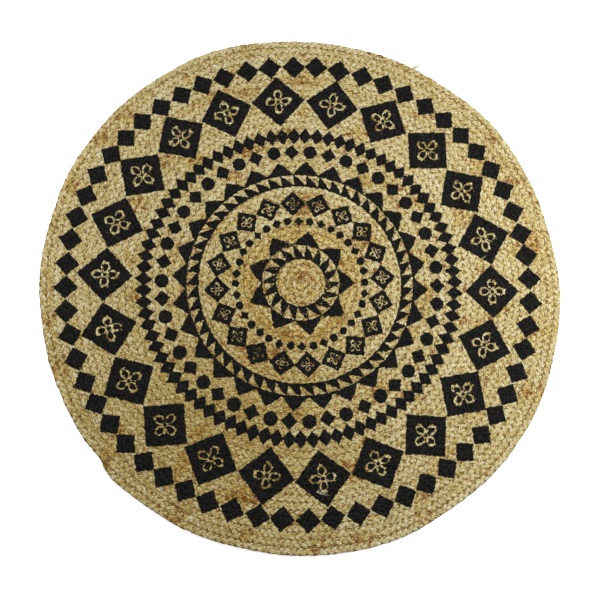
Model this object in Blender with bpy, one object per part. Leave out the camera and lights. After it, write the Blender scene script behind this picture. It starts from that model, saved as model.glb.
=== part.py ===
"""Round rug: one flat braid coiled in a spiral and sewn edge to edge, lying flat.

Metres, +Z up. The underside lies at z = 0 and the middle of the outline's box is the origin.
A bearing is an angle in degrees, clockwise from +Y as seen from above.
"""

import math

import bmesh
import bpy

# Driving sizes
MEAN_RADIUS = 0.4498
BRAID_WIDTH = 0.0119
THICKNESS = 0.008
EDGE_ROUND = 0.003

# The coil grows clockwise and its tapered outer end lies at this bearing
BRAID_END = 228.0
END_TAPER = 6.0

# Unevenness of the outline: waves round the rug, their swing and the bearing of a crest
UNEVEN = (
    {"waves": 1, "swing": 0.0017, "crest": 66.0},
    {"waves": 2, "swing": 0.0019, "crest": 164.0},
    {"waves": 4, "swing": 0.0013, "crest": 52.0},
    {"waves": 5, "swing": 0.0008, "crest": 41.0},
    {"waves": 6, "swing": 0.0007, "crest": 46.0},
    {"waves": 9, "swing": 0.0005, "crest": 12.0},
    {"waves": 10, "swing": 0.0008, "crest": 18.0},
    {"waves": 16, "swing": 0.0007, "crest": 2.0},
)

# How finely the outline and its rounded edge are divided
OUTLINE_STEPS = 288
EDGE_STEPS = 6

# Finish of the natural jute
JUTE_COLOUR = (0.434, 0.342, 0.144, 1.0)
JUTE_ROUGHNESS = 0.9


def clear_scene():
    for thing in list(bpy.data.objects):
        bpy.data.objects.remove(thing, do_unlink=True)


def coil_growth(bearing):
    """How far the edge lies outside its mean: it grows by one braid in a turn and drops at the end."""
    to_end = (BRAID_END - bearing) % 360.0
    growth = BRAID_WIDTH * (0.5 - to_end / 360.0)
    if to_end < END_TAPER:
        left = to_end / END_TAPER
        growth -= BRAID_WIDTH * (1.0 - left * left * (3.0 - 2.0 * left))
    return growth


def edge_radius(bearing):
    """Radius of the outline about the coil's middle."""
    radius = MEAN_RADIUS + coil_growth(bearing)
    for row in UNEVEN:
        radius += row["swing"] * math.cos(math.radians(row["waves"] * (bearing - row["crest"])))
    return radius


def outline():
    """(bearing, radius) pairs around the coil's middle, and the middle of their box."""
    pairs = []
    for step in range(OUTLINE_STEPS):
        bearing = 360.0 * step / OUTLINE_STEPS
        pairs.append((math.radians(bearing), edge_radius(bearing)))
    xs = [radius * math.sin(angle) for angle, radius in pairs]
    ys = [radius * math.cos(angle) for angle, radius in pairs]
    return pairs, (min(xs) + max(xs)) / 2.0, (min(ys) + max(ys)) / 2.0


def material(name, colour, roughness):
    made = bpy.data.materials.new(name)
    made.use_nodes = True
    shader = made.node_tree.nodes["Principled BSDF"]
    shader.inputs["Base Color"].default_value = colour
    shader.inputs["Roughness"].default_value = roughness
    shader.inputs["Metallic"].default_value = 0.0
    made.diffuse_color = colour
    return made


def build_rug():
    """A flat slab with the coil's outline and the braid's rounded edge."""
    pairs, middle_x, middle_y = outline()
    mesh = bpy.data.meshes.new("rug")
    form = bmesh.new()
    rings = []
    for step in range(EDGE_STEPS + 1):
        lean = math.pi * (step / EDGE_STEPS - 0.5)
        inset = EDGE_ROUND * (1.0 - math.cos(lean))
        height = THICKNESS * (1.0 + math.sin(lean)) / 2.0
        ring = []
        for angle, radius in pairs:
            x = (radius - inset) * math.sin(angle) - middle_x
            y = (radius - inset) * math.cos(angle) - middle_y
            ring.append(form.verts.new((x, y, height)))
        rings.append(ring)
    for lower, upper in zip(rings, rings[1:]):
        for step in range(OUTLINE_STEPS):
            after = (step + 1) % OUTLINE_STEPS
            side = form.faces.new((lower[step], upper[step], upper[after], lower[after]))
            side.smooth = True
    form.faces.new(rings[0])
    form.faces.new(list(reversed(rings[-1])))
    bmesh.ops.recalc_face_normals(form, faces=form.faces)
    form.to_mesh(mesh)
    form.free()
    rug = bpy.data.objects.new("rug", mesh)
    bpy.context.scene.collection.objects.link(rug)
    rug.data.materials.append(material("jute_braid", JUTE_COLOUR, JUTE_ROUGHNESS))
    return rug


clear_scene()
build_rug()
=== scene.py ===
"""Looks of a round jute rug: one flat three-strand braid coiled outwards and sewn, printed on top.

Metres, +Z up, underside at z = 0. A bearing is an angle clockwise from +Y, seen from above.
"""

import math

import bpy
import numpy as np
from mathutils import Matrix, Vector


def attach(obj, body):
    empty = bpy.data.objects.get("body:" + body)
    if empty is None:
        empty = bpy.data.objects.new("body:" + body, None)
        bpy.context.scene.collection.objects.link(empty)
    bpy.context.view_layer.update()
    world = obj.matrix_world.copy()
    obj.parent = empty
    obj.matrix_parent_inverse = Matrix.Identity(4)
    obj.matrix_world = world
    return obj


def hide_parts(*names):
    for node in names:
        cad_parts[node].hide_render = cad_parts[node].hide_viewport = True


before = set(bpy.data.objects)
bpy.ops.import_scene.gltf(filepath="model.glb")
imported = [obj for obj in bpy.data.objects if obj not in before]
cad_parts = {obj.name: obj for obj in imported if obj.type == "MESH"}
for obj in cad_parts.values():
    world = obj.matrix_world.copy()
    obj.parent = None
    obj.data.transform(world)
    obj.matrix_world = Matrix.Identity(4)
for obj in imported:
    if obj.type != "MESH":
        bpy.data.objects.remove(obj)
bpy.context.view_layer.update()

WHOLE_TURN = 2.0 * math.pi

# Middles of the coil, of the print and of the print's inner rings, on the rug
COIL_MIDDLE = (-0.0022, 0.0039)
PRINT_MIDDLE = (-0.00475, 0.00316)
INNER_MIDDLE = (-0.00395, 0.00434)

# Coil: radii where its middle line ends and starts, width of the braid, height of the rug, and how many
# points the line is first worked out at
COIL_RADIUS = 0.4498
FIRST_RADIUS = 0.0035
BRAID_WIDTH = 0.0119
RUG_HEIGHT = 0.008
LINE_SAMPLES = 200000

# Tail: bearing of the braid's end, degrees over which it narrows, and how far it is drawn in
BRAID_END = 229.7
TAIL_TURN = 7.5
TAIL_TUCK = 0.0082

# Unevenness of the outline: waves round the rug, their swing and the bearing of a crest
UNEVEN = (
    {"waves": 2, "swing": 0.0019, "crest": 164.0},
    {"waves": 4, "swing": 0.0013, "crest": 52.0},
    {"waves": 5, "swing": 0.0008, "crest": 41.0},
    {"waves": 6, "swing": 0.0007, "crest": 46.0},
    {"waves": 9, "swing": 0.0005, "crest": 12.0},
    {"waves": 10, "swing": 0.0008, "crest": 18.0},
    {"waves": 16, "swing": 0.0007, "crest": 2.0},
)

# The rounds are pushed out a little just past the braid's end: how far, at which bearing, over how many
# degrees
END_SWELL = {"push": 0.0036, "bearing": 234.5, "spread": 7.5}

# Plait: length of one full repeat, points along it, sway of a strand to each side and up and down, its rise
# where it turns back at the edge, and how flat the top and bottom of its up and down sway are
REPEAT = 0.0332
REPEAT_STEPS = 13
SIDE_SWAY = 0.0035
HEIGHT_SWAY = 0.0012
TURN_RISE = 0.0006
PLATEAU = 2.0

# Strand: half width, half thickness, and twist of its fibres in radians a metre
STRAND_HALF_WIDTH = 0.0038
STRAND_HALF_THICK = 0.0025
FIBRE_TWIST = 60.0

# Noise along a strand: its seed, and for each kind its spread and the length between its random heights
BRAID_SEED = 41
PHASE_NOISE = ((0.35, 0.11), (0.14, 0.021))
LEAN_NOISE = (0.05, 0.07)
SWAY_NOISE = (0.06, 0.02)
SIDE_NOISE = (0.0003, 0.009)
LIFT_NOISE = (0.00022, 0.011)
WIDTH_NOISE = (0.07, 0.013)
THICK_NOISE = (0.07, 0.017)
CORNER_NOISE = (0.10, 0.006)

# The rim: sway of a strand in the last round on its outer side, how far that round is drawn outwards, and
# where this starts and how long it takes to come, in degrees before the braid's end
RIM_SWAY = 0.0021
RIM_REACH = 0.0011
RIM_START = 370.0
RIM_EASE = 20.0

# The inner rounds are plaited longer and thinner: by these shares, out to a radius, easing over a width
INNER_PLAIT = {"longer": 0.09, "thinner": 0.10, "radius": 0.118, "ease": 0.020}

# A strand's cross-section in shares of its half width and half thickness. Two yarns lie side by side on top
SECTION = np.array([
    (1.0, 0.0), (0.55, 1.0), (0.03, 0.64), (-0.5, 1.0), (-1.0, 0.0), (-0.5, -0.95), (0.5, -0.95),
])
STRAND_SIDES = len(SECTION)

# The coil is made in runs, each a stretch of about this many rounds
ROUNDS_IN_RUN = 2.0

# Each strand takes its fibres from the same noise, this far on from the strand before
STRAND_NOISE_STEP = 80.0

# Noise in patches: how many waves it adds, and their lengths in shares of the patches' size
PATCH_WAVES = 14
PATCH_WAVE_LENGTHS = (0.7, 1.8)

# In the tail the strands aren't plaited: how far apart they lie, and the shares of their size and of
# their up and down sway that are left
TAIL_SPACING = 0.0015
TAIL_THIN = 0.3
TAIL_LIFT = 0.15

# Packed jute in the grooves: heights of its lower and upper side, how far its rim lies inside the braid's
# edge in shares of the braid's width, degrees between its points, its tone, its rounded rim as shares of
# the radius with heights, and its inner rings as shares of the radius
GROUND_LOW = 0.0024
GROUND_HIGH = 0.0060
GROUND_INSET = 0.04
GROUND_STEP = 1.5
GROUND_TONE = -1.0
GROUND_RIM = ((0.998, 0.0030), (1.0, 0.0040), (0.998, 0.0050))
GROUND_RINGS = (*np.linspace(0.04, 0.96, 12), 0.986)

# A loose fibre: half thickness and the shares of it that occur, share that it thins by towards its end,
# points along it, sides round it, and how far apart fibres are picked from the noise
FIBRE_HALF = 0.00016
FIBRE_HALVES = (0.6, 1.3)
FIBRE_TAPER = 0.6
FIBRE_POINTS = 7
FIBRE_SIDES = 4
FIBRE_NOISE_REACH = 9.0
FIBRE_SEED = 73

# Loose fibres on top and along the rim: how many, least and greatest height of the root, spread of the
# heading, least and greatest length, spread of the bend, least and greatest arch, and mean and spread of
# the tone
TOP_FIBRES = {"count": 340, "height": (0.0068, 0.0076), "heading": 38.0, "length": (0.007, 0.024),
              "bend": 45.0, "arch": (0.0004, 0.0012), "tone": (0.6, 0.9)}
RIM_FIBRES = {"count": 260, "height": (0.0025, 0.0062), "heading": 50.0, "length": (0.0022, 0.0062),
              "bend": 60.0, "arch": (-0.0006, 0.0010), "tone": (0.4, 0.9)}

# How far inside the edge the top fibres stay, how far outside the last round's middle line the rim fibres
# start, and how many degrees of that round have them
TOP_INSIDE = 0.008
RIM_OUTSIDE = 0.0055
RIM_DEGREES = 355.0

# Wisps of pale fibre that came loose: root, height, bearing, length, spread, how many fibres, bend in
# degrees and half thickness of a fibre
WISPS = (
    {"root": (0.1960, 0.3985), "height": 0.0050, "bearing": 30.0, "length": 0.0270, "spread": 0.0064,
     "count": 60, "bend": 52.0, "half": 0.00026},
    {"root": (0.0235, -0.3475), "height": 0.0080, "bearing": 128.0, "length": 0.0230, "spread": 0.0050,
     "count": 9, "bend": -60.0, "half": 0.00022},
    {"root": (0.3105, 0.0509), "height": 0.0080, "bearing": 60.0, "length": 0.0120, "spread": 0.0008,
     "count": 5, "bend": 4.0, "half": 0.00018},
)

# The fibres of a wisp: height about its root, how much they draw together, spread of the heading, least
# and greatest share of its length, bend and half thickness, least and greatest arch, and mean and spread
# of the tone
WISP_FIBRES = {"height": (-0.0006, 0.0002), "together": 0.7, "heading": 4.0, "length": (0.45, 1.0),
               "bend": (0.6, 1.3), "half": (0.7, 1.2), "arch": (0.0003, 0.0010), "tone": (2.2, 0.5)}

# Painted shade on one part of the rug, darker as if less light fell there: its middle, its reach and how
# much its tone is lowered
PAINTED_SHADE = {"x": -0.13, "y": -0.22, "reach": 0.19, "tone": 1.3}

# Tone along a strand: its mean, and spread and length of its noise, long, middling and as short as a petal
TONE_MEAN = 0.12
TONE_NOISE = ((0.25, 0.6), (0.30, 0.04), (0.06, 0.008))

# Flecks: level that a random height has to pass, how much lower it is in the golden ring, in the middle
# and in patches, a fleck's length along the strand, and how softly it starts
FLECKS = {"level": 1.86, "ring": 0.45, "middle": 0.55, "patch": 0.75, "length": 0.006, "soft": 0.2}

# Patches with more flecks: their size, where they start, how much darker and how golden they are, and
# their seed
PATCHES = {"size": 0.07, "start": 0.7, "darker": 0.55, "gold": 0.5, "seed": 5}

# The golden ring and the golden middle: their place, how much darker they are, and their streaks, which
# follow a strand and, in the ring, lie in patches too
GOLD_RING = {"radius": 0.087, "reach": 0.016, "darker": 0.65, "steady": 0.6, "streak": (0.6, 0.013),
             "patchy": 0.5, "size": 0.03, "seed": 9}
GOLD_MIDDLE = {"radius": 0.045, "edge": 0.006, "darker": 0.20, "gold": 0.6, "streak": (0.55, 0.009)}

# Yarns lean towards olive or towards brown: factors of the jute's colour
COOL_TINT = (0.91, 1.04, 1.02, 1.0)
WARM_TINT = (1.10, 0.94, 0.80, 1.0)
GOLD_TINT = (1.05, 0.97, 0.76, 1.0)


def linear(red, green, blue):
    """A colour given in 0 to 255 as shown on a screen, turned into the linear one that shaders use."""
    parts = np.array([red, green, blue]) / 255.0
    low = parts / 12.92
    high = ((parts + 0.055) / 1.055) ** 2.4
    return (*np.where(parts <= 0.04045, low, high).tolist(), 1.0)


JUTE_PALE = linear(209, 206, 182)
JUTE_MIDDLE = linear(190, 173, 112)
JUTE_BROWN = linear(138, 109, 47)
FLECK_RUST = linear(118, 67, 28)
GROOVE_SHADE = linear(98, 66, 18)
INK_BLACK = linear(6, 6, 7)
# Paler grey ink: partly ink worn off the highest fibres, partly a painted highlight on the relief
INK_WORN_HIGHLIGHT = linear(46, 45, 42)


# ---- shapes from arrays ----


def smooth_step(part):
    """From 0 to 1 without a corner: three times the square less twice the cube."""
    return part * part * (3.0 - 2.0 * part)


def along_noise(way, spread, scale, rng):
    """Smooth noise along a length: random heights a scale apart, joined by smooth steps, about 0."""
    knots = rng.normal(size=int(way[-1] / scale) + 3)
    place = way / scale
    low = place.astype(int)
    part = smooth_step(place - low)
    return spread * (knots[low] * (1.0 - part) + knots[low + 1] * part)


def patch_noise(x, y, scale, seed):
    """Smooth noise of spread 1 over the rug: a sum of plane waves of random direction, length and phase."""
    rng = np.random.default_rng(seed)
    total = np.zeros_like(x)
    for _ in range(PATCH_WAVES):
        turn = rng.uniform(0.0, WHOLE_TURN)
        pitch = WHOLE_TURN / (scale * rng.uniform(*PATCH_WAVE_LENGTHS))
        total += np.sin(pitch * (x * math.cos(turn) + y * math.sin(turn)) + rng.uniform(0.0, WHOLE_TURN))
    return total * math.sqrt(2.0 / PATCH_WAVES)


def uneven(bearing_degrees, radius):
    """Sum of the outline's waves and its swell, dying away towards the middle as the cube of the radius.

    The swell is a bell curve over the bearing.
    """
    past = (bearing_degrees - END_SWELL["bearing"] + 180.0) % 360.0 - 180.0
    total = END_SWELL["push"] * np.exp(-((past / END_SWELL["spread"]) ** 2))
    for row in UNEVEN:
        total += row["swing"] * np.cos(np.radians(row["waves"] * (bearing_degrees - row["crest"])))
    return total * np.clip(radius / COIL_RADIUS, 0.0, 1.0) ** 3


def coil_line():
    """The braid's middle line, even steps along its length.

    The radius grows by one braid in each turn. Over the tail the braid narrows against the round before it.
    """
    turns = (COIL_RADIUS - FIRST_RADIUS) / BRAID_WIDTH
    angle = np.linspace(0.0, turns * 360.0, LINE_SAMPLES)
    bearing = BRAID_END - angle[-1] + angle
    radius = FIRST_RADIUS + BRAID_WIDTH * angle / 360.0
    width = smooth_step(np.clip((angle[-1] - angle) / TAIL_TURN, 0.0, 1.0))
    radius = radius + uneven(bearing, radius) - TAIL_TUCK * (1.0 - width)
    turn = np.radians(bearing)
    x = COIL_MIDDLE[0] + radius * np.sin(turn)
    y = COIL_MIDDLE[1] + radius * np.cos(turn)
    way = np.concatenate([[0.0], np.cumsum(np.hypot(np.diff(x), np.diff(y)))])
    steps = int(way[-1] / REPEAT * REPEAT_STEPS)
    even = np.linspace(0.0, way[-1], steps + 1)
    line = {"way": even}
    for label, values in (("angle", angle), ("width", width), ("x", x), ("y", y), ("radius", radius)):
        line[label] = np.interp(even, way, values)
    return line


def unit(vectors):
    """Vectors made 1 long: each divided by its length."""
    return vectors / np.linalg.norm(vectors, axis=-1, keepdims=True)


def strand_paths(line, rng):
    """Middle lines and sizes of the three strands.

    With the phase p along the braid, a strand sways to the side as sin(p) and lies above or below by
    -tanh(k sin(2 p)), a little higher where it turns back at the edge. The three are a third of a repeat
    apart. Noise along the length makes the plait uneven. In the tail the strands lie side by side.
    """
    way = line["way"]
    zero = np.zeros_like(way)
    ahead = unit(np.stack([np.gradient(line["x"]), np.gradient(line["y"]), zero], axis=-1))
    outward = np.stack([-ahead[:, 1], ahead[:, 0], zero], axis=-1)
    width = line["width"]
    inner = np.clip((INNER_PLAIT["radius"] - line["radius"]) / INNER_PLAIT["ease"], 0.0, 1.0)
    repeat = REPEAT * (1.0 + INNER_PLAIT["longer"] * inner)
    phase = np.concatenate([[0.0], np.cumsum(np.diff(way) / repeat[1:])]) * WHOLE_TURN
    for row in PHASE_NOISE:
        phase = phase + along_noise(way, *row, rng)
    lean = along_noise(way, *LEAN_NOISE, rng)
    to_end = line["angle"][-1] - line["angle"]
    last_round = np.clip((RIM_START - to_end) / RIM_EASE, 0.0, 1.0)
    slim = 1.0 - INNER_PLAIT["thinner"] * inner
    narrow = TAIL_THIN + (1.0 - TAIL_THIN) * width
    lifted = TAIL_LIFT + (1.0 - TAIL_LIFT) * width
    strands = []
    for strand in range(3):
        turn = phase + WHOLE_TURN * strand / 3.0
        side = SIDE_SWAY * slim * (1.0 + along_noise(way, *SWAY_NOISE, rng)) * np.sin(turn)
        pressed = RIM_SWAY * np.tanh(side / RIM_SWAY) + RIM_REACH
        side = side + last_round * (np.where(side > 0.0, pressed, side + RIM_REACH) - side)
        side = width * side + (1.0 - width) * TAIL_SPACING * (strand - 1)
        side = side + along_noise(way, *SIDE_NOISE, rng)
        over = -np.tanh(PLATEAU * np.sin(2.0 * turn)) / math.tanh(PLATEAU)
        lift = (HEIGHT_SWAY * over + TURN_RISE * (1.0 - np.abs(over))) * lifted
        lift = lift + along_noise(way, *LIFT_NOISE, rng) + side * lean
        centre = np.stack([line["x"], line["y"], zero + RUG_HEIGHT / 2.0], axis=-1)
        centre = centre + outward * side[:, None]
        centre[:, 2] += lift
        wide = (1.0 + along_noise(way, *WIDTH_NOISE, rng)) * slim
        thick = 1.0 + along_noise(way, *THICK_NOISE, rng)
        strands.append({
            "centre": centre,
            "half_width": STRAND_HALF_WIDTH * wide * narrow,
            "half_thick": STRAND_HALF_THICK * thick * narrow,
            "turn": turn,
        })
    return strands


def strand_skin(strand, way, rng):
    """Rings of points round a strand's middle line: its section, as wide and as thick as the strand there.

    Each corner of the section swells and shrinks by its own noise along the length, sideways by half of it.
    Returns the points and, for the finish, the same rings with the strand pulled straight and its fibres
    wound round it.
    """
    ahead = unit(np.gradient(strand["centre"], axis=0))
    across = unit(np.cross(np.array([0.0, 0.0, 1.0]), ahead))
    up = np.cross(ahead, across)
    around = np.arctan2(SECTION[:, 1], SECTION[:, 0])
    swell = 1.0 + np.stack([along_noise(way, *CORNER_NOISE, rng) for _ in SECTION], axis=-1)
    wide = strand["half_width"][:, None] * SECTION[:, 0] * (0.5 + 0.5 * swell)
    high = strand["half_thick"][:, None] * SECTION[:, 1] * swell
    points = strand["centre"][:, None, :] + across[:, None, :] * wide[..., None]
    points = points + up[:, None, :] * high[..., None]
    points[..., 2] = np.maximum(points[..., 2], 0.0)
    spun = around[None, :] + FIBRE_TWIST * way[:, None]
    straight = np.stack([
        np.broadcast_to(way[:, None], wide.shape),
        STRAND_HALF_WIDTH * np.cos(spun),
        STRAND_HALF_WIDTH * np.sin(spun),
    ], axis=-1)
    return points, straight


def tube_faces(rings, sides, first):
    """Quads of a tube of rings and a fan of triangles to close each end.

    They face outwards where the rings run as a strand's do, and are reversed for the other way.
    """
    ring = np.arange(rings - 1)[:, None] * sides
    here = np.arange(sides)[None, :]
    after = (here + 1) % sides
    quads = np.stack([ring + here, ring + after, ring + sides + after, ring + sides + here], axis=-1)
    fan = np.stack([np.zeros(sides - 2, int), np.arange(2, sides), np.arange(1, sides - 1)], axis=-1)
    last = (rings - 1) * sides + fan[:, ::-1]
    return quads.reshape(-1, 4) + first, np.concatenate([fan, last]) + first


def mesh_from(name, points, quads, triangles, smooth=True):
    """A mesh from arrays of points, four-cornered and three-cornered faces."""
    mesh = bpy.data.meshes.new(name)
    corners = np.concatenate([quads.ravel(), triangles.ravel()]).astype(np.int32)
    sizes = np.concatenate([np.full(len(quads), 4), np.full(len(triangles), 3)])
    starts = np.concatenate([[0], np.cumsum(sizes)[:-1]]).astype(np.int32)
    mesh.vertices.add(len(points))
    mesh.vertices.foreach_set("co", points.astype(np.float32).ravel())
    mesh.loops.add(len(corners))
    mesh.loops.foreach_set("vertex_index", corners)
    mesh.polygons.add(len(sizes))
    mesh.polygons.foreach_set("loop_start", starts)
    mesh.polygons.foreach_set("use_smooth", np.full(len(sizes), smooth))
    mesh.update(calc_edges=True)
    mesh.validate()
    return mesh


def give(mesh, name, values):
    """Stores one number or one vector for each point of a mesh."""
    kind, key = ("FLOAT", "value") if values.ndim == 1 else ("FLOAT_VECTOR", "vector")
    layer = mesh.attributes.new(name, kind, "POINT")
    layer.data.foreach_set(key, values.astype(np.float32).ravel())


def place(name, mesh, material):
    """A piece of the rug: it rides on the rug's body."""
    made = bpy.data.objects.new(name, mesh)
    bpy.context.scene.collection.objects.link(made)
    made.data.materials.append(material)
    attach(made, "root")
    return made


def braid_tones(line, strand, rng):
    """Tone, rust-coloured flecks and golden colour along a strand.

    Tone adds noise of a long, a middling and a petal's length, and is lower in patches, in the golden ring
    and middle and under the painted shade on one part. A fleck is where a random height along the strand
    passes a level, which is lower in patches and in the golden ring and middle. Ring and painted shade fade
    as a bell curve.
    """
    way = line["way"]
    x, y = strand["centre"][:, 0], strand["centre"][:, 1]
    radius = np.hypot(x - PRINT_MIDDLE[0], y - PRINT_MIDDLE[1])
    tone = sum(along_noise(way, *row, rng) for row in TONE_NOISE)
    ring = np.exp(-(((radius - GOLD_RING["radius"]) / GOLD_RING["reach"]) ** 2))
    middle = np.clip((GOLD_MIDDLE["radius"] - radius) / GOLD_MIDDLE["edge"], 0.0, 1.0)
    patch = patch_noise(x, y, PATCHES["size"], PATCHES["seed"])
    level = FLECKS["level"] - FLECKS["ring"] * ring - FLECKS["middle"] * middle - FLECKS["patch"] * patch
    fleck = np.clip((along_noise(way, 1.0, FLECKS["length"], rng) - level) / FLECKS["soft"], 0.0, 1.0)
    strong = np.clip(patch - PATCHES["start"], 0.0, 2.0)
    tone = tone + TONE_MEAN - PATCHES["darker"] * strong
    # Painted shade: the tone is lowered about one part of the rug, fading as a bell curve
    away = np.hypot(x - PAINTED_SHADE["x"], y - PAINTED_SHADE["y"]) / PAINTED_SHADE["reach"]
    tone = tone - PAINTED_SHADE["tone"] * np.exp(-(away**2))
    tone = tone + middle * (along_noise(way, *GOLD_MIDDLE["streak"], rng) - GOLD_MIDDLE["darker"])
    streaks = GOLD_RING["patchy"] * patch_noise(x, y, GOLD_RING["size"], GOLD_RING["seed"])
    streaks = streaks + along_noise(way, *GOLD_RING["streak"], rng)
    tone = tone - GOLD_RING["darker"] * ring * (GOLD_RING["steady"] + streaks)
    gold = ring + GOLD_MIDDLE["gold"] * middle + PATCHES["gold"] * np.minimum(strong, 1.0)
    return tone, fleck, np.clip(gold, 0.0, 1.0)


def braid_runs(line, material):
    """The coil as runs of a few rounds, each with its stretch of the three strands."""
    rng = np.random.default_rng(BRAID_SEED)
    strands = strand_paths(line, rng)
    skins = [strand_skin(strand, line["way"], rng) for strand in strands]
    tones = [braid_tones(line, strand, rng) for strand in strands]
    rounds = line["angle"] / 360.0
    runs = max(1, round(rounds[-1] / ROUNDS_IN_RUN))
    cuts = np.searchsorted(rounds, np.linspace(0.0, rounds[-1], runs + 1)[1:-1])
    made = []
    last = len(line["way"]) - 1
    starts = []
    for strand in strands:
        # A strand is cut where it lies lowest, under the other two
        under = np.sin(2.0 * strand["turn"])
        starts.append([0] + [int(c + np.argmax(under[c:c + REPEAT_STEPS])) for c in cuts] + [last])
    for run in range(runs):
        points, straights, quads, triangles = [], [], [], []
        looks = [[], [], []]
        first = 0
        for strand in range(3):
            a, b = starts[strand][run], starts[strand][run + 1] + 1
            skin, straight = skins[strand]
            points.append(skin[a:b].reshape(-1, 3))
            shifted = straight[a:b].copy()
            shifted[..., 0] += STRAND_NOISE_STEP * strand
            straights.append(shifted.reshape(-1, 3))
            four, three = tube_faces(b - a, STRAND_SIDES, first)
            quads.append(four)
            triangles.append(three)
            for look, values in zip(looks, tones[strand]):
                look.append(np.repeat(values[a:b], STRAND_SIDES))
            first += (b - a) * STRAND_SIDES
        mesh = mesh_from(f"braid_run_{run + 1:02d}", *map(np.concatenate, (points, quads, triangles)))
        give(mesh, "straight", np.concatenate(straights))
        for label, look in zip(("tone", "fleck", "gold"), looks):
            give(mesh, label, np.concatenate(look))
        made.append(place(f"braid_run_{run + 1:02d}", mesh, material))
    return made


def ground_sheet(material):
    """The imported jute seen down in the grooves: a flat disc inside the braid.

    Its radius grows by one braid over a turn and drops back at the tail. The outline's unevenness is added.
    """
    around = np.radians(np.arange(0.0, 360.0, GROUND_STEP))
    degrees = np.degrees(around)
    to_end = (BRAID_END - degrees) % 360.0
    radius = COIL_RADIUS + BRAID_WIDTH * (0.5 - GROUND_INSET - to_end / 360.0)
    radius = radius - BRAID_WIDTH * (1.0 - smooth_step(np.clip(to_end / TAIL_TURN, 0.0, 1.0)))
    radius = radius + uneven(degrees, radius)
    profile = [(share, GROUND_LOW) for share in GROUND_RINGS] + list(GROUND_RIM)
    profile += [(share, GROUND_HIGH) for share in GROUND_RINGS[::-1]]
    rings = []
    for share, height in profile:
        ring = np.stack([
            COIL_MIDDLE[0] + share * radius * np.sin(around),
            COIL_MIDDLE[1] + share * radius * np.cos(around),
            np.full_like(around, height),
        ], axis=-1)
        rings.append(ring)
    points = np.concatenate(rings)
    quads, _ = tube_faces(len(rings), len(around), 0)
    middles = np.array([[*COIL_MIDDLE, GROUND_LOW], [*COIL_MIDDLE, GROUND_HIGH]])
    here = np.arange(len(around))
    after = (here + 1) % len(around)
    top = (len(rings) - 1) * len(around)
    under = np.stack([here, np.full_like(here, len(points)), after], axis=-1)
    over = np.stack([top + here, top + after, np.full_like(here, len(points) + 1)], axis=-1)
    mesh = mesh_from("jute_ground", np.concatenate([points, middles]), quads[:, ::-1],
                     np.concatenate([under, over])[:, ::-1], smooth=False)
    return place("jute_ground", mesh, material)


def fibre_tubes(name, root, heading, length, bend, arch, half, rng, material, tone):
    """Thin tubes, one for each row of the arrays.

    A fibre's heading turns by its bend along the length, its height follows arch * 4 t (1 - t), and it
    thins towards its end.
    """
    count = len(root)
    share = np.linspace(0.0, 1.0, FIBRE_POINTS)
    turn = np.radians(heading)[:, None] + np.radians(bend)[:, None] * share
    stride = length[:, None] / (FIBRE_POINTS - 1) * np.ones(FIBRE_POINTS - 1)
    flat = np.stack([np.sin(turn), np.cos(turn)], axis=-1)
    centre = np.zeros((count, FIBRE_POINTS, 3))
    centre[:, :1, :] = root[:, None, :]
    centre[:, 1:, :2] = root[:, None, :2] + np.cumsum(flat[:, :-1] * stride[..., None], axis=1)
    centre[:, :, 2] = root[:, 2:] + arch[:, None] * 4.0 * share * (1.0 - share)
    around = np.arange(FIBRE_SIDES) * WHOLE_TURN / FIBRE_SIDES
    thin = half[:, None] * (1.0 - FIBRE_TAPER * share)
    across = np.stack([flat[..., 1], -flat[..., 0], np.zeros_like(turn)], axis=-1)
    points = centre[:, :, None, :] + across[:, :, None, :] * (thin[..., None] * np.cos(around))[..., None]
    points[..., 2] += thin[..., None] * np.sin(around)
    four, three = tube_faces(FIBRE_POINTS, FIBRE_SIDES, 0)
    firsts = np.arange(count)[:, None, None] * FIBRE_POINTS * FIBRE_SIDES
    quads, triangles = (four[None] + firsts).reshape(-1, 4), (three[None] + firsts).reshape(-1, 3)
    mesh = mesh_from(name, points.reshape(-1, 3), quads[:, ::-1], triangles[:, ::-1])
    straight = np.zeros_like(points)
    start = rng.uniform(0.0, FIBRE_NOISE_REACH, count)
    straight[..., 0] = (length[:, None] * share)[..., None] + start[:, None, None]
    give(mesh, "straight", straight.reshape(-1, 3))
    give(mesh, "tone", np.repeat(tone, FIBRE_POINTS * FIBRE_SIDES))
    return place(name, mesh, material)


def fibre_set(name, row, root, heading, rng, material):
    """Loose fibres from given roots, the rest of each picked at random from its row's ranges."""
    count = row["count"]
    heading = heading + rng.normal(0.0, row["heading"], count)
    length = rng.uniform(*row["length"], count)
    bend = rng.normal(0.0, row["bend"], count)
    arch = rng.uniform(*row["arch"], count)
    half = FIBRE_HALF * rng.uniform(*FIBRE_HALVES, count)
    tone = rng.normal(*row["tone"], count)
    return fibre_tubes(name, root, heading, length, bend, arch, half, rng, material, tone)


def wisp(name, row, rng, material):
    """A bundle of pale fibres from one place. They draw together towards the tip."""
    count = row["count"]
    turn = np.radians(row["bearing"])
    aside = rng.uniform(-0.5, 0.5, count) * row["spread"]
    height = row["height"] + rng.uniform(*WISP_FIBRES["height"], count)
    x, y = row["root"]
    root = np.stack([x + aside * np.cos(turn), y - aside * np.sin(turn), height], axis=-1)
    heading = row["bearing"] - np.degrees(WISP_FIBRES["together"] * aside / row["length"])
    heading = heading + rng.normal(0.0, WISP_FIBRES["heading"], count)
    length = row["length"] * rng.uniform(*WISP_FIBRES["length"], count)
    bend = row["bend"] * rng.uniform(*WISP_FIBRES["bend"], count)
    arch = rng.uniform(*WISP_FIBRES["arch"], count)
    half = row["half"] * rng.uniform(*WISP_FIBRES["half"], count)
    tone = rng.normal(*WISP_FIBRES["tone"], count)
    return fibre_tubes(name, root, heading, length, bend, arch, half, rng, material, tone)


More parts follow.
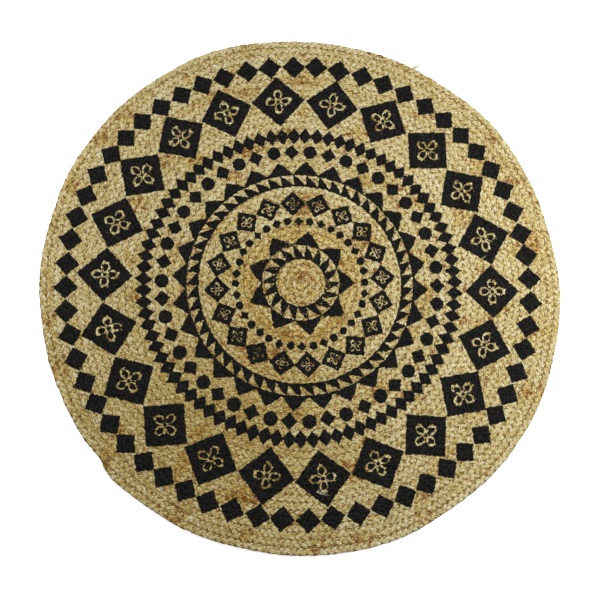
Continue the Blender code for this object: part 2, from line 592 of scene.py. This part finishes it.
def loose_fibres(line, printed, pale):
    """Short fibres lying over the top and standing out from the rim, and the pale wisps."""
    rng = np.random.default_rng(FIBRE_SEED)
    middle = np.array(COIL_MIDDLE)

    # The root of the random share spreads the top fibres evenly over the area
    count = TOP_FIBRES["count"]
    reach = (COIL_RADIUS - TOP_INSIDE) * np.sqrt(rng.uniform(0.0, 1.0, count))
    turn = rng.uniform(0.0, WHOLE_TURN, count)
    root = np.stack([middle[0] + reach * np.sin(turn), middle[1] + reach * np.cos(turn),
                     rng.uniform(*TOP_FIBRES["height"], count)], axis=-1)
    made = [fibre_set("loose_fibres", TOP_FIBRES, root, np.degrees(turn) + 90.0, rng, printed)]

    count = RIM_FIBRES["count"]
    last_round = np.nonzero(line["angle"] > line["angle"][-1] - RIM_DEGREES)[0]
    spots = rng.choice(last_round, count)
    height = rng.uniform(*RIM_FIBRES["height"], count)
    root = np.stack([line["x"][spots], line["y"][spots], height], axis=-1)
    outward = root[:, :2] - middle
    outward /= np.linalg.norm(outward, axis=1, keepdims=True)
    root[:, :2] += outward * RIM_OUTSIDE
    heading = np.degrees(np.arctan2(outward[:, 0], outward[:, 1]))
    made.append(fibre_set("rim_fibres", RIM_FIBRES, root, heading, rng, pale))

    for number, row in enumerate(WISPS):
        made.append(wisp(f"wisp_{number + 1}", row, rng, pale))
    return made


# ---- finish ----


# Nodes are laid out in rows: how far apart, how far apart the rows are, and how many are in a row
NODE_APART = 220
ROW_APART = 260
NODES_IN_ROW = 24


class Board:
    """Places and wires the nodes of one material or group."""

    def __init__(self, tree):
        self.tree = tree
        self.placed = 0

    def add(self, kind, **settings):
        node = self.tree.nodes.new(kind)
        row, column = divmod(self.placed, NODES_IN_ROW)
        node.location = (NODE_APART * column, -ROW_APART * row)
        self.placed += 1
        for key, value in settings.items():
            setattr(node, key, value)
        return node

    def feed(self, socket, value):
        if isinstance(value, bpy.types.NodeSocket):
            self.tree.links.new(value, socket)
        elif value is not None:
            socket.default_value = value

    def reckon(self, operation, *values, clamp=False):
        node = self.add("ShaderNodeMath", operation=operation, use_clamp=clamp)
        for socket, value in zip(node.inputs, values):
            self.feed(socket, value)
        return node.outputs[0]

    def plus(self, first, second):
        return self.reckon("ADD", first, second)

    def less(self, first, second):
        return self.reckon("SUBTRACT", first, second)

    def times(self, first, second):
        return self.reckon("MULTIPLY", first, second)

    def over(self, first, second):
        return self.reckon("DIVIDE", first, second)

    def nudge(self, base, factor, first, second):
        """The base plus a factor times the difference of two values."""
        return self.reckon("MULTIPLY_ADD", self.less(first, second), factor, base)

    def far(self, x, y):
        """How far out a place is: the root of the two squares."""
        return self.reckon("SQRT", self.reckon("MULTIPLY_ADD", x, x, self.times(y, y)))

    def vector(self, operation, *values):
        node = self.add("ShaderNodeVectorMath", operation=operation)
        for socket, value in zip(node.inputs, values):
            self.feed(socket, value)
        return node.outputs["Value"] if operation in ("LENGTH", "DOT_PRODUCT") else node.outputs["Vector"]

    def step(self, value, low, high):
        """Smooth step from 0 at low to 1 at high."""
        node = self.add("ShaderNodeMapRange", interpolation_type="SMOOTHSTEP")
        self.feed(node.inputs["Value"], value)
        self.feed(node.inputs["From Min"], low)
        self.feed(node.inputs["From Max"], high)
        return node.outputs["Result"]

    def blend(self, share, under, over, kind="MIX"):
        node = self.add("ShaderNodeMix", data_type="RGBA", blend_type=kind)
        self.feed(node.inputs["Factor"], share)
        self.feed(node.inputs[6], under)
        self.feed(node.inputs[7], over)
        return node.outputs[2]

    def noise(self, place, scale, detail=0.0, roughness=0.5):
        node = self.add("ShaderNodeTexNoise", noise_dimensions="3D")
        self.feed(node.inputs["Vector"], place)
        node.inputs["Scale"].default_value = scale
        node.inputs["Detail"].default_value = detail
        node.inputs["Roughness"].default_value = roughness
        return node

    def use(self, group, **values):
        node = self.add("ShaderNodeGroup")
        node.node_tree = group
        for name, value in values.items():
            self.feed(node.inputs[name.replace("_", " ").title()], value)
        return node.outputs


def new_group(name, inputs, outputs):
    """A shader node group with named sockets. Returns its tree, its board, its inputs and its outputs."""
    tree = bpy.data.node_groups.new(name, "ShaderNodeTree")
    for label, kind in inputs:
        tree.interface.new_socket(label, in_out="INPUT", socket_type=kind)
    for label, kind in outputs:
        tree.interface.new_socket(label, in_out="OUTPUT", socket_type=kind)
    board = Board(tree)
    entry = board.add("NodeGroupInput")
    leave = board.add("NodeGroupOutput")
    return tree, board, entry.outputs, leave.inputs


NUMBER, VECTOR, COLOUR = "NodeSocketFloat", "NodeSocketVector", "NodeSocketColor"


# Chance of a shape: seed for each metre of its ring's radius, and how far it may turn, in radians
RING_SEED = 977.0
SHAPE_SWING = 0.14


def group_shape_place():
    """Where a point lies in its nearest shape of a ring.

    The turn less the first shape's turn, times the count, is split into a whole number, the shape, and the
    rest. The rest gives the place across and along from the shape's middle. The shape's random values shift
    and turn it a little.
    """
    tree, board, given, out = new_group(
        "shape_place",
        [("Radius", NUMBER), ("Turn", NUMBER), ("Count", NUMBER), ("First", NUMBER), ("Ring", NUMBER),
         ("Shift", NUMBER)],
        [("Across", NUMBER), ("Along", NUMBER), ("Shape", NUMBER), ("Chance", NUMBER)],
    )
    count = given["Count"]
    place = board.times(board.less(given["Turn"], given["First"]), count)
    shape = board.reckon("FLOOR", board.plus(place, 0.5))
    rest = board.less(place, shape)
    angle = board.times(board.over(rest, count), WHOLE_TURN)
    wrapped = board.reckon("FLOORED_MODULO", shape, count)
    across = board.times(given["Radius"], board.reckon("SINE", angle))
    along = board.less(board.times(given["Radius"], board.reckon("COSINE", angle)), given["Ring"])
    dice = board.add("ShaderNodeTexWhiteNoise", noise_dimensions="2D")
    seed = board.add("ShaderNodeCombineXYZ")
    board.feed(seed.inputs[0], wrapped)
    board.feed(seed.inputs[1], board.times(given["Ring"], RING_SEED))
    board.feed(dice.inputs["Vector"], seed.outputs[0])
    thrown = board.add("ShaderNodeSeparateColor")
    board.feed(thrown.inputs[0], dice.outputs["Color"])
    shift = given["Shift"]
    across = board.nudge(across, shift, thrown.outputs[0], 0.5)
    along = board.nudge(along, shift, thrown.outputs[1], 0.5)
    swing = board.times(board.less(thrown.outputs[2], 0.5), SHAPE_SWING)
    turned_across = board.reckon("MULTIPLY_ADD", along, swing, across)
    turned_along = board.less(along, board.times(across, swing))
    board.feed(out["Across"], turned_across)
    board.feed(out["Along"], turned_along)
    board.feed(out["Shape"], wrapped)
    board.feed(out["Chance"], dice.outputs["Value"])
    return tree


# A square's side is this share of its half diagonal away from its middle
SIDE_AWAY = 0.7071


def group_corner_square():
    """Distance outside a square on its corner: across and along, each by its half size, added, less one."""
    tree, board, given, out = new_group(
        "corner_square",
        [("Across", NUMBER), ("Along", NUMBER), ("Half Across", NUMBER), ("Half Along", NUMBER)],
        [("Outside", NUMBER)],
    )
    a = board.over(board.reckon("ABSOLUTE", given["Across"]), given["Half Across"])
    b = board.over(board.reckon("ABSOLUTE", given["Along"]), given["Half Along"])
    whole = board.less(board.plus(a, b), 1.0)
    size = board.times(board.reckon("MINIMUM", given["Half Across"], given["Half Along"]), SIDE_AWAY)
    board.feed(out["Outside"], board.times(whole, size))
    return tree


def group_dot():
    """Distance outside a round dot."""
    tree, board, given, out = new_group(
        "dot", [("Across", NUMBER), ("Along", NUMBER), ("Half", NUMBER)], [("Outside", NUMBER)]
    )
    board.feed(out["Outside"], board.less(board.far(given["Across"], given["Along"]), given["Half"]))
    return tree


# A petal, in shares of the flower's reach: its middle, half length, half width near the heart and how
# much that grows outwards, and how much shorter the ellipse's measure is than the real distance. A power
# under 2 makes its ends a little pointed. The heart is a dot of this radius
PETAL = {"middle": 0.57, "half_length": 0.41, "half_width": 0.21, "widening": 0.14, "scale": 0.33,
         "power": 1.6}
HEART = 0.15


def group_flower_line():
    """Distance from the line of a four-petal flower.

    The larger and the smaller of the two distances fold the four petals into one, an ellipse on its axis.
    """
    tree, board, given, out = new_group(
        "flower_line",
        [("Across", NUMBER), ("Along", NUMBER), ("Size", NUMBER), ("Line", NUMBER), ("Rag", NUMBER)],
        [("Outside", NUMBER)],
    )
    size = given["Size"]
    a = board.over(board.reckon("ABSOLUTE", given["Across"]), size)
    b = board.over(board.reckon("ABSOLUTE", given["Along"]), size)
    far = board.reckon("MAXIMUM", a, b)
    near = board.reckon("MINIMUM", a, b)
    long_way = board.over(board.less(far, PETAL["middle"]), PETAL["half_length"])
    width = board.reckon("MULTIPLY_ADD", far, PETAL["widening"], PETAL["half_width"])
    wide_way = board.over(near, width)
    length = board.reckon("POWER", board.reckon("ABSOLUTE", long_way), PETAL["power"])
    ellipse = board.reckon("SQRT", board.reckon("MULTIPLY_ADD", wide_way, wide_way, length))
    edge = board.reckon("ABSOLUTE", board.less(ellipse, 1.0))
    edge = board.times(edge, board.times(size, PETAL["scale"]))
    heart = board.times(board.less(HEART, board.far(a, b)), size)
    line = board.less(edge, board.times(given["Line"], 0.5))
    line = board.plus(line, given["Rag"])
    board.feed(out["Outside"], board.reckon("MAXIMUM", line, heart))
    return tree


# A leaning tooth, in shares of its pitch: gap before it and where it has fallen to the root. Then the
# power of its bow and the share of a height over it that counts as distance
TOOTH = {"gap": 0.05, "end": 0.95, "power": 1.2, "lean": 0.75}


def group_sawteeth():
    """Distance outside a ring line with leaning teeth, highest at their first edge and falling in a bow."""
    tree, board, given, out = new_group(
        "sawteeth",
        [("Radius", NUMBER), ("Turn", NUMBER), ("Count", NUMBER), ("First", NUMBER), ("Inner", NUMBER),
         ("Root", NUMBER), ("Tip", NUMBER)],
        [("Outside", NUMBER)],
    )
    place = board.times(board.less(given["Turn"], given["First"]), given["Count"])
    part = board.reckon("FRACT", place)
    fall = board.reckon("POWER", board.over(part, TOOTH["end"]), TOOTH["power"])
    height = board.times(board.less(given["Tip"], given["Root"]), board.less(1.0, fall))
    pitch = board.over(board.times(given["Radius"], WHOLE_TURN), given["Count"])
    over = board.less(board.less(given["Radius"], given["Root"]), height)
    over = board.times(over, TOOTH["lean"])
    before = board.times(board.less(TOOTH["gap"], part), pitch)
    tooth = board.reckon("MAXIMUM", over, before)
    line = board.less(given["Radius"], given["Root"])
    outer = board.reckon("MINIMUM", tooth, line)
    board.feed(out["Outside"], board.reckon("MAXIMUM", outer, board.less(given["Inner"], given["Radius"])))
    return tree


# A triangle: power of its sides' bow, and distance in metres for the measure across a side
POINT_POWER = 1.15
POINT_SCALE = 0.010


def group_points():
    """Distance outside a ring of triangles: above the base, and below the sides that meet at the tip."""
    tree, board, given, out = new_group(
        "points",
        [("Radius", NUMBER), ("Across", NUMBER), ("Base", NUMBER), ("Tip", NUMBER), ("Half", NUMBER)],
        [("Outside", NUMBER)],
    )
    rise = board.over(board.less(given["Radius"], given["Base"]), board.less(given["Tip"], given["Base"]))
    aside = board.over(board.reckon("ABSOLUTE", given["Across"]), given["Half"])
    lean = board.reckon("POWER", aside, POINT_POWER)
    side = board.times(board.less(board.plus(rise, lean), 1.0), POINT_SCALE)
    board.feed(out["Outside"], board.reckon("MAXIMUM", side, board.less(given["Base"], given["Radius"])))
    return tree


# How far ink runs past a printing block's edge, and how far out the inner rings' own middle counts
INK_SPREAD = 0.0010
INNER_REACH = 0.10

# Rings of squares on their corner: how many, the ring's radius, degrees of the first one, half size
# across and along, and how far each may be shifted. Every second one is a dot where a dot's radius is
# given
SHAPE_RINGS = (
    {"count": 36, "ring": 0.1112, "first": -1.5, "half": (0.0069, 0.0069), "dot": 0.0058, "shift": 0.0018},
    {"count": 46, "ring": 0.2371, "first": -3.5, "half": (0.0126, 0.0126), "dot": 0.0109, "shift": 0.0020},
    {"count": 83, "ring": 0.2671, "first": -2.4, "half": (0.0106, 0.0134), "dot": 0.0, "shift": 0.0014},
    {"count": 60, "ring": 0.3986, "first": -1.86, "half": (0.0195, 0.0195), "dot": 0.0, "shift": 0.0022},
)

# Rings of large squares on their corner, with a flower left free in each: its reach and its line's width
FLOWER_RINGS = (
    {"count": 20, "ring": 0.1421, "first": -5.3, "half": (0.0211, 0.0211), "flower": 0.0105,
     "line": 0.0013, "shift": 0.0018},
    {"count": 22, "ring": 0.3326, "first": -6.55, "half": (0.0461, 0.0461), "flower": 0.0211,
     "line": 0.0025, "shift": 0.0026},
)

# Ring lines with leaning teeth: how many, degrees of the first one, and radii of the line's inner and outer
# side and of the tips
SAW_RINGS = (
    {"count": 18, "first": 7.1, "inner": 0.0426, "root": 0.0440, "tip": 0.0660},
    {"count": 53, "first": 3.1, "inner": 0.1746, "root": 0.1762, "tip": 0.1934},
)

# Rings of triangles that point outwards, with a plain line under them where a band is given
POINT_RINGS = (
    {"count": 9, "first": 8.2, "base": 0.0674, "tip": 0.0898, "half": 0.0220, "band": 0.0},
    {"count": 28, "first": 2.6, "base": 0.1950, "tip": 0.2170, "half": 0.0218, "band": 0.0024},
)
POINT_SHIFT = 0.0012

# Ragged edge of the ink: scales of the coarse and of the fine noise, how far in metres each of them, a
# groove and a strand's tone pull it, the height that isn't a groove, and half the way from jute to ink
RAG = {"coarse": 160.0, "coarse_pull": 0.0046, "fine": 900.0, "fine_pull": 0.0016, "groove_pull": 0.0012,
       "tone_pull": 0.0004, "height": 0.75, "half": 0.0003}
FLOWER_RAG = 2.6

# Misses: small specks where patchy noise and fine noise are both high, more of them in the dips and in
# the middle, where the small blocks took the ink less well. Scales of both noises, the patchy one's
# share, what a dip and the middle add, the height that isn't a dip, radii where the middle starts and is
# full, sums where ink is missed, and the share of ink missed there
MISSES = {"patch": 38.0, "patch_share": 0.55, "speck": 270.0, "dip": 0.12, "height": 0.7, "middle": 0.14,
          "radii": (0.13, 0.04), "sums": (1.10, 1.20), "share": 0.85}


def group_printed():
    """Share of ink over the rug: the smallest of the distances outside every shape, with ragged edges.

    The edge shrinks in the grooves and steps from strand to strand with the tone. Some ink is missed.
    """
    tree, board, given, out = new_group(
        "printed_rings", [("Place", VECTOR), ("Cover", NUMBER), ("Tone", NUMBER)], [("Ink", NUMBER)]
    )
    shape_place, corner_square, dot = group_shape_place(), group_corner_square(), group_dot()
    flower_line, sawteeth, points = group_flower_line(), group_sawteeth(), group_points()
    rag = board.noise(given["Place"], RAG["coarse"], 1.0)
    pulled = board.vector("SUBTRACT", rag.outputs["Color"], (0.5, 0.5, 0.5))
    pulled = board.vector("MULTIPLY", pulled, (RAG["coarse_pull"], RAG["coarse_pull"], 0.0))

    def polar(middle):
        """Radius and turn about a middle, the place pulled about by the noise."""
        ragged = board.vector("ADD", board.vector("SUBTRACT", given["Place"], (*middle, 0.0)), pulled)
        parts = board.add("ShaderNodeSeparateXYZ")
        board.feed(parts.inputs[0], ragged)
        x, y = parts.outputs[:2]
        return board.far(x, y), board.over(board.reckon("ARCTAN2", x, y), WHOLE_TURN)

    radius, turn = polar(PRINT_MIDDLE)
    inner = polar(INNER_MIDDLE)
    fine = board.noise(given["Place"], RAG["fine"]).outputs["Fac"]
    nearest = None

    def join(outside):
        nonlocal nearest
        nearest = outside if nearest is None else board.reckon("MINIMUM", nearest, outside)

    def spread(outside):
        return board.less(outside, INK_SPREAD)

    def placed(row, far, bearing, ring, shift):
        """Where a point lies in its nearest shape of a row's ring."""
        return board.use(shape_place, radius=far, turn=bearing, count=float(row["count"]),
                         first=row["first"] / 360.0, ring=ring, shift=shift)

    def squares(row):
        """Places in a ring of squares on their corner, and the distance outside them."""
        spot = placed(row, radius, turn, row["ring"], row["shift"])
        half_across, half_along = row["half"]
        return spot, board.use(corner_square, across=spot["Across"], along=spot["Along"],
                               half_across=half_across, half_along=half_along)["Outside"]

    for row in SHAPE_RINGS:
        spot, square = squares(row)
        if row["dot"]:
            disc = board.use(dot, across=spot["Across"], along=spot["Along"], half=row["dot"])["Outside"]
            odd = board.reckon("FLOORED_MODULO", spot["Shape"], 2.0)
            pick = board.add("ShaderNodeMix", data_type="FLOAT")
            board.feed(pick.inputs["Factor"], odd)
            board.feed(pick.inputs[2], square)
            board.feed(pick.inputs[3], disc)
            square = pick.outputs[0]
        join(spread(square))
    for row in FLOWER_RINGS:
        spot, square = squares(row)
        broken = board.times(board.less(rag.outputs["Fac"], 0.5), FLOWER_RAG * row["line"])
        line = board.use(flower_line, across=spot["Across"], along=spot["Along"], size=row["flower"],
                         line=row["line"], rag=broken)["Outside"]
        join(board.reckon("MAXIMUM", spread(square), board.times(line, -1.0)))
    for row in SAW_RINGS:
        far, bearing = inner if row["root"] < INNER_REACH else (radius, turn)
        teeth = board.use(sawteeth, radius=far, turn=bearing, count=float(row["count"]),
                          first=row["first"] / 360.0, inner=row["inner"], root=row["root"], tip=row["tip"])
        join(spread(teeth["Outside"]))
    for row in POINT_RINGS:
        far, bearing = inner if row["base"] < INNER_REACH else (radius, turn)
        spot = placed(row, far, bearing, row["base"], POINT_SHIFT)
        point = board.use(points, radius=far, across=spot["Across"], base=row["base"], tip=row["tip"],
                          half=row["half"])
        join(spread(point["Outside"]))
        if row["band"]:
            middle = row["base"] + row["band"] / 2.0
            off = board.reckon("ABSOLUTE", board.less(radius, middle))
            join(board.less(off, row["band"] / 2.0))
    edge = board.nudge(nearest, RAG["fine_pull"], fine, 0.5)
    edge = board.nudge(edge, RAG["groove_pull"], RAG["height"], given["Cover"])
    edge = board.reckon("MULTIPLY_ADD", given["Tone"], RAG["tone_pull"], edge)
    ink = board.step(edge, RAG["half"], -RAG["half"])
    patch = board.noise(given["Place"], MISSES["patch"], 1.0).outputs["Fac"]
    speck = board.noise(given["Place"], MISSES["speck"], 1.0).outputs["Fac"]
    miss = board.plus(board.times(patch, MISSES["patch_share"]), speck)
    miss = board.nudge(miss, MISSES["dip"], MISSES["height"], given["Cover"])
    miss = board.reckon("MULTIPLY_ADD", board.step(radius, *MISSES["radii"]), MISSES["middle"], miss)
    missed = board.times(board.step(miss, *MISSES["sums"]), MISSES["share"])
    board.feed(out["Ink"], board.times(ink, board.less(1.0, missed)))
    return tree


# Jute: how fine its fibres and its yarns are along and across a strand, in shapes a metre, how far each
# moves the tone, and the fibres' part in the relief
FIBRE_SCALE = (140.0, 1300.0, 1300.0)
YARN_SCALE = (350.0, 780.0, 780.0)
FIBRE_TONE = 7.4
YARN_TONE = 7.6
FIBRE_RELIEF = 0.45

# From which to which tone jute turns pale, brown and fully tinted, which values of the yarn's colour
# noise turn it from a cool to a warm tint, and which values of its height noise a fleck takes
PALE_TONES = (-0.4, 2.7)
BROWN_TONES = (0.5, -2.6)
TINTED_TONES = (2.2, -0.8)
WARMTH = (0.3, 0.7)
FLECK_YARNS = (0.68, 0.56)

# Deep in a groove, and where the yarn is thin near one, hardly any light comes back: the yarn's part in
# the depth, from which to which depth, and how much of the light is lost
GROOVE = {"yarn": 0.6, "depths": (0.68, 0.42), "share": 0.95}


def group_jute():
    """Colour and relief of jute along a strand: long thin fibres, paler and browner, with rust flecks."""
    tree, board, given, out = new_group(
        "jute_fibre",
        [("Straight", VECTOR), ("Tone", NUMBER), ("Fleck", NUMBER), ("Gold", NUMBER), ("Cover", NUMBER)],
        [("Colour", COLOUR), ("Relief", NUMBER)],
    )
    drawn = board.vector("MULTIPLY", given["Straight"], FIBRE_SCALE)
    fibre = board.noise(drawn, 1.0, 1.0, 0.6).outputs["Fac"]
    yarns = board.noise(board.vector("MULTIPLY", given["Straight"], YARN_SCALE), 1.0)
    yarn = yarns.outputs["Fac"]
    channels = board.add("ShaderNodeSeparateColor")
    board.feed(channels.inputs[0], yarns.outputs["Color"])
    warmth = channels.outputs[1]
    relief = board.plus(board.times(fibre, FIBRE_RELIEF), yarn)
    tone = board.nudge(given["Tone"], FIBRE_TONE, fibre, 0.5)
    tone = board.nudge(tone, YARN_TONE, yarn, 0.5)
    pale = board.step(tone, *PALE_TONES)
    brown = board.step(tone, *BROWN_TONES)
    colour = board.blend(pale, JUTE_MIDDLE, JUTE_PALE)
    colour = board.blend(brown, colour, JUTE_BROWN)
    tint = board.blend(board.step(warmth, *WARMTH), COOL_TINT, WARM_TINT)
    # Pale jute hardly varies in hue, brown jute does
    tinted = board.step(tone, *TINTED_TONES)
    colour = board.blend(tinted, colour, board.blend(1.0, colour, tint, "MULTIPLY"))
    colour = board.blend(given["Gold"], colour, board.blend(1.0, colour, GOLD_TINT, "MULTIPLY"))
    streak = board.times(given["Fleck"], board.step(yarn, *FLECK_YARNS))
    colour = board.blend(streak, colour, FLECK_RUST)
    sunk = board.nudge(given["Cover"], GROOVE["yarn"], yarn, 0.5)
    deep = board.step(sunk, *GROOVE["depths"])
    colour = board.blend(board.times(deep, GROOVE["share"]), colour, GROOVE_SHADE)
    board.feed(out["Colour"], colour)
    board.feed(out["Relief"], relief)
    return tree


def height_cover(board, place):
    """How near a point is to the rug's upper or lower face: 1 there, 0 at half height. Also its height."""
    parts = board.add("ShaderNodeSeparateXYZ")
    board.feed(parts.inputs[0], place)
    height = parts.outputs[2]
    off = board.reckon("ABSOLUTE", board.less(height, RUG_HEIGHT / 2.0))
    return height, board.reckon("DIVIDE", off, RUG_HEIGHT / 2.0, clamp=True)


# Only the rug's upper side is printed: from which to which share of its height the ink comes. On the
# highest fibres, from which to which relief, the ink is paler: partly worn, partly a painted highlight
PRINT_HEIGHTS = (0.44, 0.58)
WORN_HIGHLIGHT_RELIEF = (0.55, 1.1)

# How rough jute is at no relief and how much rougher for its relief, bumps in metres, and its weak sheen
ROUGHNESS = {"least": 0.72, "relief": 0.12}
BUMP = {"strength": 0.6, "distance": 0.0009}
SHEEN = 0.07


def jute_finish(name, jute, printed=None, tone=None, shaded=True):
    """Jute, with ink on its upper side where the rings are printed.

    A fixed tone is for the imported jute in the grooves, which has no strand to follow. Loose fibres aren't
    shaded as grooves are.
    """
    material = bpy.data.materials.new(name)
    material.use_nodes = True
    board = Board(material.node_tree)
    shader = material.node_tree.nodes["Principled BSDF"]
    place = board.add("ShaderNodeTexCoord").outputs["Object"]
    height, cover = height_cover(board, place)
    cover = cover if shaded else 1.0
    straight, fleck, gold = place, 0.0, 0.0
    if tone is None:
        straight = board.add("ShaderNodeAttribute", attribute_name="straight").outputs["Vector"]
        tone, fleck, gold = [board.add("ShaderNodeAttribute", attribute_name=label).outputs["Fac"]
                             for label in ("tone", "fleck", "gold")]
    cloth = board.use(jute, straight=straight, tone=tone, fleck=fleck, gold=gold, cover=cover)
    colour = cloth["Colour"]
    if printed is not None:
        print_on = board.use(printed, place=place, cover=cover, tone=tone)
        upper = board.step(height, *(RUG_HEIGHT * share for share in PRINT_HEIGHTS))
        ink = board.times(print_on["Ink"], upper)
        # Ink on the highest fibres is paler: partly wear, partly a painted highlight on the relief
        black = board.blend(board.step(cloth["Relief"], *WORN_HIGHLIGHT_RELIEF), INK_BLACK, INK_WORN_HIGHLIGHT)
        colour = board.blend(ink, colour, black)
    board.feed(shader.inputs["Base Color"], colour)
    rough = board.reckon("MULTIPLY_ADD", cloth["Relief"], ROUGHNESS["relief"], ROUGHNESS["least"])
    board.feed(shader.inputs["Roughness"], rough)
    bump = board.add("ShaderNodeBump")
    bump.inputs["Strength"].default_value = BUMP["strength"]
    bump.inputs["Distance"].default_value = BUMP["distance"]
    board.feed(bump.inputs["Height"], cloth["Relief"])
    board.feed(shader.inputs["Normal"], bump.outputs["Normal"])
    shader.inputs["Specular IOR Level"].default_value = SHEEN
    return material


# ---- floor, light and camera ----


WHITE = (1.0, 1.0, 1.0, 1.0)
ROOM_LIGHT = 0.37
LAMPS = (
    {"name": "window_light", "place": (0.72, 0.14, 0.90), "radius": 0.34, "watts": 47.0},
    {"name": "room_light", "place": (-0.96, 0.30, 0.64), "radius": 0.40, "watts": 25.2},
)

# White floor just under the rug
FLOOR_SIZE = 40.0
FLOOR_HEIGHT = -0.0002
FLOOR_FINISH = {"Base Color": (0.92, 0.92, 0.93, 1.0), "Roughness": 0.9, "Specular IOR Level": 0.1,
                "Emission Color": WHITE, "Emission Strength": 0.60}

# Camera: its place and the point it looks at, from the print's middle on the rug's upper side, its lens in
# millimetres for the width of its picture plane, and how near and how far it sees
PRINT_HEIGHT = 0.007
CAMERA_PLACE = (-0.1152, -0.4425, 1.8338)
CAMERA_AIM = (-0.0005, -0.0296, 0.0)
LENS = 66.18
PICTURE_PLANE = 36.0
NEAREST_SEEN = 0.05
FARTHEST_SEEN = 100.0


def floor_and_light():
    bpy.ops.mesh.primitive_plane_add(size=FLOOR_SIZE, location=(0.0, 0.0, FLOOR_HEIGHT))
    floor = bpy.context.object
    floor.name = "floor"
    white = bpy.data.materials.new("white_floor")
    white.use_nodes = True
    for socket, value in FLOOR_FINISH.items():
        white.node_tree.nodes["Principled BSDF"].inputs[socket].default_value = value
    floor.data.materials.append(white)
    world = bpy.data.worlds.new("soft_room")
    world.use_nodes = True
    world.node_tree.nodes["Background"].inputs["Color"].default_value = WHITE
    world.node_tree.nodes["Background"].inputs["Strength"].default_value = ROOM_LIGHT
    bpy.context.scene.world = world
    for row in LAMPS:
        light = bpy.data.lights.new(row["name"], "POINT")
        light.shadow_soft_size = row["radius"]
        light.energy = row["watts"]
        lamp = bpy.data.objects.new(row["name"], light)
        bpy.context.scene.collection.objects.link(lamp)
        lamp.location = row["place"]


def camera():
    """The photograph's viewpoint: almost straight above, a little from the lower edge."""
    data = bpy.data.cameras.new("camera")
    data.sensor_width = PICTURE_PLANE
    data.lens = LENS
    seen = bpy.data.objects.new("camera", data)
    bpy.context.scene.collection.objects.link(seen)
    base = Vector((*PRINT_MIDDLE, PRINT_HEIGHT))
    spot = base + Vector(CAMERA_PLACE)
    aim = base + Vector(CAMERA_AIM)
    ahead = (aim - spot).normalized()
    right = ahead.cross(Vector((0.0, 1.0, 0.0))).normalized()
    up = right.cross(ahead)
    seen.matrix_world = Matrix((
        (right.x, up.x, -ahead.x, spot.x),
        (right.y, up.y, -ahead.y, spot.y),
        (right.z, up.z, -ahead.z, spot.z),
        (0.0, 0.0, 0.0, 1.0),
    ))
    data.clip_start = NEAREST_SEEN
    data.clip_end = FARTHEST_SEEN
    bpy.context.scene.camera = seen


camera()
floor_and_light()
bpy.context.scene.view_settings.view_transform = "Standard"

jute_group = group_jute()
print_group = group_printed()
braid_finish = jute_finish("printed_braid", jute_group, print_group)
ground_finish = jute_finish("groove_jute", jute_group, print_group, tone=GROUND_TONE)
fibre_finish = jute_finish("printed_fibre", jute_group, print_group, shaded=False)
pale_finish = jute_finish("pale_fibre", jute_group, shaded=False)

coil = coil_line()
runs = braid_runs(coil, braid_finish)
ground = ground_sheet(ground_finish)
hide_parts("rug")
fibres = loose_fibres(coil, fibre_finish, pale_finish)
